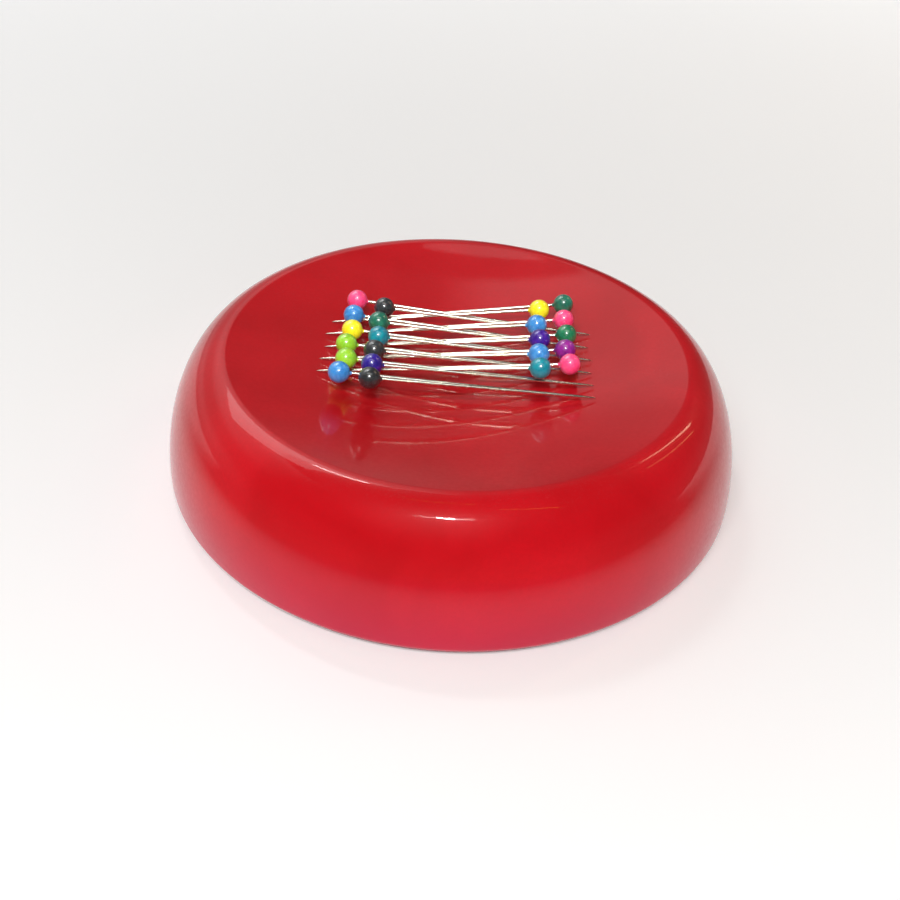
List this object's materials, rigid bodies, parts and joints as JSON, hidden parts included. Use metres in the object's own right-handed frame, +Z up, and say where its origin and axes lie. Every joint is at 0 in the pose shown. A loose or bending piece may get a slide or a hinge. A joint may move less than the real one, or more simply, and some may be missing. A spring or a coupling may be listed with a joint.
{
  "type": "magnetic pin cushion",
  "caption": "Round glossy red magnetic pin cushion for a tabletop: a shallow dish over a hidden ring magnet, holding a loose heap of straight pins with coloured ball heads.",
  "frame": {"origin": "centre of the underside of the non-slip pad, on the bench", "axes": "+Z up; the pins lie roughly along X and the pictured side faces -Y"},
  "size_m": [0.104, 0.104, 0.0262],
  "materials": {
    "shell_red": "glossy",
    "base_red": "satin",
    "tape_foam": "matte",
    "ferrite": "matte",
    "keeper_steel": "satin",
    "pad_foam": "matte",
    "pin_steel": "polished",
    "head_black": "glossy",
    "head_blue": "glossy",
    "head_forest": "glossy",
    "head_green": "glossy",
    "head_lime": "glossy",
    "head_navy": "glossy",
    "head_pink": "glossy",
    "head_purple": "glossy",
    "head_teal": "glossy",
    "head_violet": "glossy",
    "head_yellow": "glossy"
  },
  "bodies": {
    "holder": {"dish_shell": "shell_red", "magnet_tape": "tape_foam", "ring_magnet": "ferrite", "keeper_plate": "keeper_steel", "base_cover": "base_red", "non_slip_pad": "pad_foam"},
    "pin_01": {"pin_01_head": "head_pink", "pin_01_shaft": "pin_steel"},
    "pin_02": {"pin_02_head": "head_black", "pin_02_shaft": "pin_steel"},
    "pin_03": {"pin_03_head": "head_blue", "pin_03_shaft": "pin_steel"},
    "pin_04": {"pin_04_head": "head_forest", "pin_04_shaft": "pin_steel"},
    "pin_05": {"pin_05_head": "head_yellow", "pin_05_shaft": "pin_steel"},
    "pin_06": {"pin_06_head": "head_teal", "pin_06_shaft": "pin_steel"},
    "pin_07": {"pin_07_head": "head_lime", "pin_07_shaft": "pin_steel"},
    "pin_08": {"pin_08_head": "head_black", "pin_08_shaft": "pin_steel"},
    "pin_09": {"pin_09_head": "head_lime", "pin_09_shaft": "pin_steel"},
    "pin_10": {"pin_10_head": "head_navy", "pin_10_shaft": "pin_steel"},
    "pin_11": {"pin_11_head": "head_blue", "pin_11_shaft": "pin_steel"},
    "pin_12": {"pin_12_head": "head_black", "pin_12_shaft": "pin_steel"},
    "pin_13": {"pin_13_head": "head_forest", "pin_13_shaft": "pin_steel"},
    "pin_14": {"pin_14_head": "head_yellow", "pin_14_shaft": "pin_steel"},
    "pin_15": {"pin_15_head": "head_pink", "pin_15_shaft": "pin_steel"},
    "pin_16": {"pin_16_head": "head_blue", "pin_16_shaft": "pin_steel"},
    "pin_17": {"pin_17_head": "head_green", "pin_17_shaft": "pin_steel"},
    "pin_18": {"pin_18_head": "head_violet", "pin_18_shaft": "pin_steel"},
    "pin_19": {"pin_19_head": "head_purple", "pin_19_shaft": "pin_steel"},
    "pin_20": {"pin_20_head": "head_blue", "pin_20_shaft": "pin_steel"},
    "pin_21": {"pin_21_head": "head_pink", "pin_21_shaft": "pin_steel"},
    "pin_22": {"pin_22_head": "head_teal", "pin_22_shaft": "pin_steel"}
  },
  "joints": [
    {"name": "pin_01_lift", "type": "slide", "parent": "holder", "child": "pin_01", "axis": [0, 0, 1], "range_m": [0, 0.06]},
    {"name": "pin_02_lift", "type": "slide", "parent": "holder", "child": "pin_02", "axis": [0, 0, 1], "range_m": [0, 0.06]},
    {"name": "pin_03_lift", "type": "slide", "parent": "holder", "child": "pin_03", "axis": [0, 0, 1], "range_m": [0, 0.06]},
    {"name": "pin_04_lift", "type": "slide", "parent": "holder", "child": "pin_04", "axis": [0, 0, 1], "range_m": [0, 0.06]},
    {"name": "pin_05_lift", "type": "slide", "parent": "holder", "child": "pin_05", "axis": [0, 0, 1], "range_m": [0, 0.06]},
    {"name": "pin_06_lift", "type": "slide", "parent": "holder", "child": "pin_06", "axis": [0, 0, 1], "range_m": [0, 0.06]},
    {"name": "pin_07_lift", "type": "slide", "parent": "holder", "child": "pin_07", "axis": [0, 0, 1], "range_m": [0, 0.06]},
    {"name": "pin_08_lift", "type": "slide", "parent": "holder", "child": "pin_08", "axis": [0, 0, 1], "range_m": [0, 0.06]},
    {"name": "pin_09_lift", "type": "slide", "parent": "holder", "child": "pin_09", "axis": [0, 0, 1], "range_m": [0, 0.06]},
    {"name": "pin_10_lift", "type": "slide", "parent": "holder", "child": "pin_10", "axis": [0, 0, 1], "range_m": [0, 0.06]},
    {"name": "pin_11_lift", "type": "slide", "parent": "holder", "child": "pin_11", "axis": [0, 0, 1], "range_m": [0, 0.06]},
    {"name": "pin_12_lift", "type": "slide", "parent": "holder", "child": "pin_12", "axis": [0, 0, 1], "range_m": [0, 0.06]},
    {"name": "pin_13_lift", "type": "slide", "parent": "holder", "child": "pin_13", "axis": [0, 0, 1], "range_m": [0, 0.06]},
    {"name": "pin_14_lift", "type": "slide", "parent": "holder", "child": "pin_14", "axis": [0, 0, 1], "range_m": [0, 0.06]},
    {"name": "pin_15_lift", "type": "slide", "parent": "holder", "child": "pin_15", "axis": [0, 0, 1], "range_m": [0, 0.06]},
    {"name": "pin_16_lift", "type": "slide", "parent": "holder", "child": "pin_16", "axis": [0, 0, 1], "range_m": [0, 0.06]},
    {"name": "pin_17_lift", "type": "slide", "parent": "holder", "child": "pin_17", "axis": [0, 0, 1], "range_m": [0, 0.06]},
    {"name": "pin_18_lift", "type": "slide", "parent": "holder", "child": "pin_18", "axis": [0, 0, 1], "range_m": [0, 0.06]},
    {"name": "pin_19_lift", "type": "slide", "parent": "holder", "child": "pin_19", "axis": [0, 0, 1], "range_m": [0, 0.06]},
    {"name": "pin_20_lift", "type": "slide", "parent": "holder", "child": "pin_20", "axis": [0, 0, 1], "range_m": [0, 0.06]},
    {"name": "pin_21_lift", "type": "slide", "parent": "holder", "child": "pin_21", "axis": [0, 0, 1], "range_m": [0, 0.06]},
    {"name": "pin_22_lift", "type": "slide", "parent": "holder", "child": "pin_22", "axis": [0, 0, 1], "range_m": [0, 0.06]}
  ]
}
